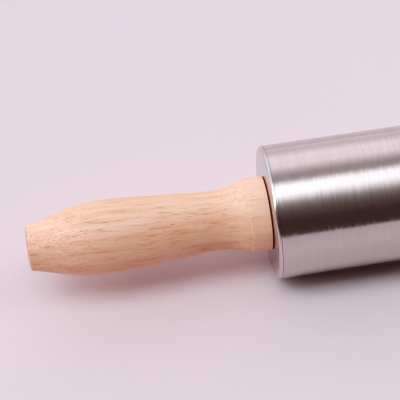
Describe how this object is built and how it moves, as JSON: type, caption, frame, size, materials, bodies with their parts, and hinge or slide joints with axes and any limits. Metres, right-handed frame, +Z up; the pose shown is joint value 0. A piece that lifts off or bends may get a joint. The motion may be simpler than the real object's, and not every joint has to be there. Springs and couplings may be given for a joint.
{
  "type": "rolling pin",
  "caption": "Rolling pin with a hollow brushed steel roller on ball bearings, turning on a fixed axle between turned wooden grips.",
  "frame": {"origin": "middle of the roller, on the axle", "axes": "+X along the axle towards the right grip, +Y away from the user, +Z up from the worktop the pin lies on"},
  "size_m": [0.3976, 0.055, 0.055],
  "materials": {
    "barrel_steel": "fine brushing around the roller",
    "cap_steel": "smooth satin",
    "axle_steel": "ground",
    "bearing_steel": "ground",
    "ball_steel": "polished",
    "spring_steel": "dark phosphated",
    "cage_nylon": "matte",
    "insert_brass": "as turned",
    "grip_wood": "sanded, thinly oiled"
  },
  "bodies": {
    "grips_and_axle": {"left_grip": "grip_wood", "right_grip": "grip_wood", "axle": "axle_steel", "left_threaded_insert": "insert_brass", "right_threaded_insert": "insert_brass", "left_spacer_washer": "axle_steel", "right_spacer_washer": "axle_steel", "left_circlip": "spring_steel", "right_circlip": "spring_steel", "left_bearing_inner_ring": "bearing_steel", "right_bearing_inner_ring": "bearing_steel"},
    "roller": {"roller_barrel": "barrel_steel", "left_end_cap": "cap_steel", "right_end_cap": "cap_steel", "left_bearing_outer_ring": "bearing_steel", "right_bearing_outer_ring": "bearing_steel", "left_bearing_outer_shield": "bearing_steel", "left_bearing_inner_shield": "bearing_steel", "right_bearing_outer_shield": "bearing_steel", "right_bearing_inner_shield": "bearing_steel"},
    "left_ball_set": {"left_bearing_cage": "cage_nylon", "left_bearing_ball_1": "ball_steel", "left_bearing_ball_2": "ball_steel", "left_bearing_ball_3": "ball_steel", "left_bearing_ball_4": "ball_steel", "left_bearing_ball_5": "ball_steel", "left_bearing_ball_6": "ball_steel", "left_bearing_ball_7": "ball_steel"},
    "right_ball_set": {"right_bearing_cage": "cage_nylon", "right_bearing_ball_1": "ball_steel", "right_bearing_ball_2": "ball_steel", "right_bearing_ball_3": "ball_steel", "right_bearing_ball_4": "ball_steel", "right_bearing_ball_5": "ball_steel", "right_bearing_ball_6": "ball_steel", "right_bearing_ball_7": "ball_steel"}
  },
  "joints": [
    {"name": "roller_spin", "type": "hinge", "parent": "grips_and_axle", "child": "roller", "pos_m": [0, 0, 0], "axis": [1, 0, 0], "continuous": true},
    {"name": "left_ball_set_orbit", "type": "hinge", "parent": "grips_and_axle", "child": "left_ball_set", "pos_m": [-0.09596, 0, 0], "axis": [1, 0, 0], "continuous": true},
    {"name": "right_ball_set_orbit", "type": "hinge", "parent": "grips_and_axle", "child": "right_ball_set", "pos_m": [0.09596, 0, 0], "axis": [1, 0, 0], "continuous": true}
  ],
  "couplings": [
    {"joint": "left_ball_set_orbit", "follows": "roller_spin", "ratio": 0.63085},
    {"joint": "right_ball_set_orbit", "follows": "roller_spin", "ratio": 0.63085}
  ]
}
